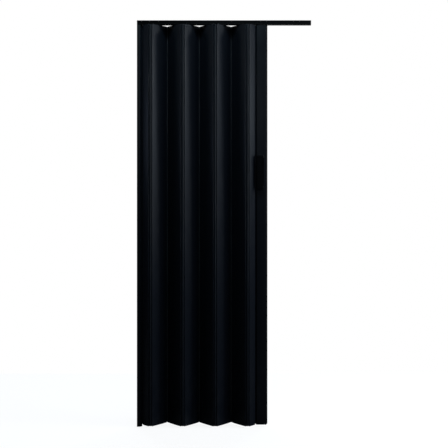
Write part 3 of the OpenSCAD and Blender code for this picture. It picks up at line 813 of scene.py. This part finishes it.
def make_handles():
    """The two pull handles, with the screw holes in the back one."""
    front = handle("front_pull", "front_handle", -1)
    stand_for(front, "front_handle", "lead", handle_plastic)
    back = handle("back_pull", "back_handle", 1)
    low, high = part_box("back_handle")
    screw_low, screw_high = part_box("handle_screws")
    x = (screw_low.x + screw_high.x) / 2
    tools = []
    for z in (screw_low.z + BOLT_HEAD_R, screw_high.z - BOLT_HEAD_R):
        tools.append(drill((x, z), BOLT_HEAD_R + BOLT_FIT, high.y - BOLT_HEAD_ROOM, high.y + MM, "y"))
        tools.append(drill((x, z), BOLT_R + BOLT_FIT, low.y - MM, high.y + MM, "y"))
    stand_for(cut(back, *tools), "back_handle", "lead", handle_plastic)


def dress_nodes():
    """Gives every CAD node that still shows its material."""
    for name, node in frame["nodes"].items():
        if name.startswith(("hanger", "glider", "lead_hangers", "lead_glider")):
            material = nylon
        elif name == "handle_screws":
            material = steel
        elif name == "lead_foot_cap":
            material = panel_pvc
        else:
            material = track_pvc
        node.data.materials.clear()
        node.data.materials.append(material)


def shown_white(tree, place):
    """A factor that is 1 for the camera, 1 for mirrors and glass that look behind the door, and otherwise 0.

    A studio has its white backdrop behind the door only. For mirrors the factor goes from 0 to 1 over the
    span BACKDROP of Y, which is read from the Texture Coordinate output that place names.
    """
    def worked(operation, *values):
        node = tree.nodes.new("ShaderNodeMath")
        node.operation = operation
        for socket, value in zip(node.inputs, values):
            tree.links.new(value, socket)
        return node.outputs[0]

    path = tree.nodes.new("ShaderNodeLightPath").outputs
    parts = tree.nodes.new("ShaderNodeSeparateXYZ")
    tree.links.new(tree.nodes.new("ShaderNodeTexCoord").outputs[place], parts.inputs[0])
    behind = tree.nodes.new("ShaderNodeMapRange")
    behind.inputs["From Min"].default_value, behind.inputs["From Max"].default_value = BACKDROP
    tree.links.new(parts.outputs["Y"], behind.inputs["Value"])
    mirrored = worked("MAXIMUM", path["Is Glossy Ray"], path["Is Transmission Ray"])
    mirrored = worked("MULTIPLY", mirrored, behind.outputs["Result"])
    return worked("MAXIMUM", path["Is Camera Ray"], mirrored)


def make_floor():
    """A pale floor that shows white to the camera and keeps the door's shadow."""
    half_x, front, back = FLOOR
    points = [(-half_x, front, 0), (half_x, front, 0), (half_x, back, 0), (-half_x, back, 0)]
    floor = solid("floor", points, [[0, 1, 2, 3]])
    material = bpy.data.materials.new("pale_floor")
    material.use_nodes = True
    tree = material.node_tree
    main = next(n for n in tree.nodes if n.type == "BSDF_PRINCIPLED")
    main.inputs["Base Color"].default_value = (FLOOR_GREY, FLOOR_GREY, FLOOR_GREY, 1)
    main.inputs["Roughness"].default_value = 0.9
    main.inputs["Specular IOR Level"].default_value = 0.1
    main.inputs["Emission Color"].default_value = (FLOOR_GLOW, FLOOR_GLOW, FLOOR_GLOW, 1)
    tree.links.new(shown_white(tree, "Object"), main.inputs["Emission Strength"])
    floor.data.materials.append(material)


def make_room():
    """A room that shows white to the camera but lights the door only a little."""
    world = bpy.data.worlds.new("studio")
    bpy.context.scene.world = world
    world.use_nodes = True
    tree = world.node_tree
    tree.nodes.clear()
    mix, out = tree.nodes.new("ShaderNodeMixShader"), tree.nodes.new("ShaderNodeOutputWorld")
    tree.links.new(shown_white(tree, "Generated"), mix.inputs[0])
    for strength, socket in zip((ROOM_LIGHT, 1.0), mix.inputs[1:]):
        shade = tree.nodes.new("ShaderNodeBackground")
        shade.inputs["Color"].default_value = (1, 1, 1, 1)
        shade.inputs["Strength"].default_value = strength
        tree.links.new(shade.outputs[0], socket)
    tree.links.new(mix.outputs[0], out.inputs["Surface"])


def softbox(name, place, aim, size, watts, colour):
    """A rectangular lamp at place, turned towards the height aim on the door's middle line."""
    lamp = bpy.data.lights.new(name, "AREA")
    lamp.shape = "RECTANGLE"
    lamp.size, lamp.size_y = size
    lamp.energy, lamp.color = watts, colour
    box = bpy.data.objects.new(name, lamp)
    box.location = place
    box.rotation_euler = (Vector((0, 0, aim)) - Vector(place)).to_track_quat("-Z", "Y").to_euler()
    bpy.context.scene.collection.objects.link(box)


def make_lamps():
    """Softboxes round the door, each at its angle and distance from the middle line and facing it."""
    for name, angle, distance, height, aim, size, watts, colour in LAMPS:
        a = math.radians(angle)
        softbox(name, (distance * math.sin(a), -distance * math.cos(a), height), aim, size, watts, colour)


def make_camera():
    """A level camera before the track's middle, with the frame shifted down to take in the whole door."""
    lens = bpy.data.cameras.new("camera")
    lens.sensor_width = SENSOR_MM
    lens.lens = FOCAL_PX / FRAME_PX * SENSOR_MM
    lens.shift_y = (HORIZON_PX - FRAME_PX / 2) / FRAME_PX
    camera = bpy.data.objects.new("camera", lens)
    camera.location = (0, -CAMERA_DISTANCE, EYE_HEIGHT)
    camera.rotation_euler = (math.pi / 2, 0, 0)
    bpy.context.scene.collection.objects.link(camera)
    bpy.context.scene.camera = camera


dress_nodes()
make_panels()
make_strips()
make_lead_post()
make_wall_side()
make_track()
make_handles()
make_floor()
make_room()
make_lamps()
make_camera()
bpy.context.scene.view_settings.view_transform = "Standard"
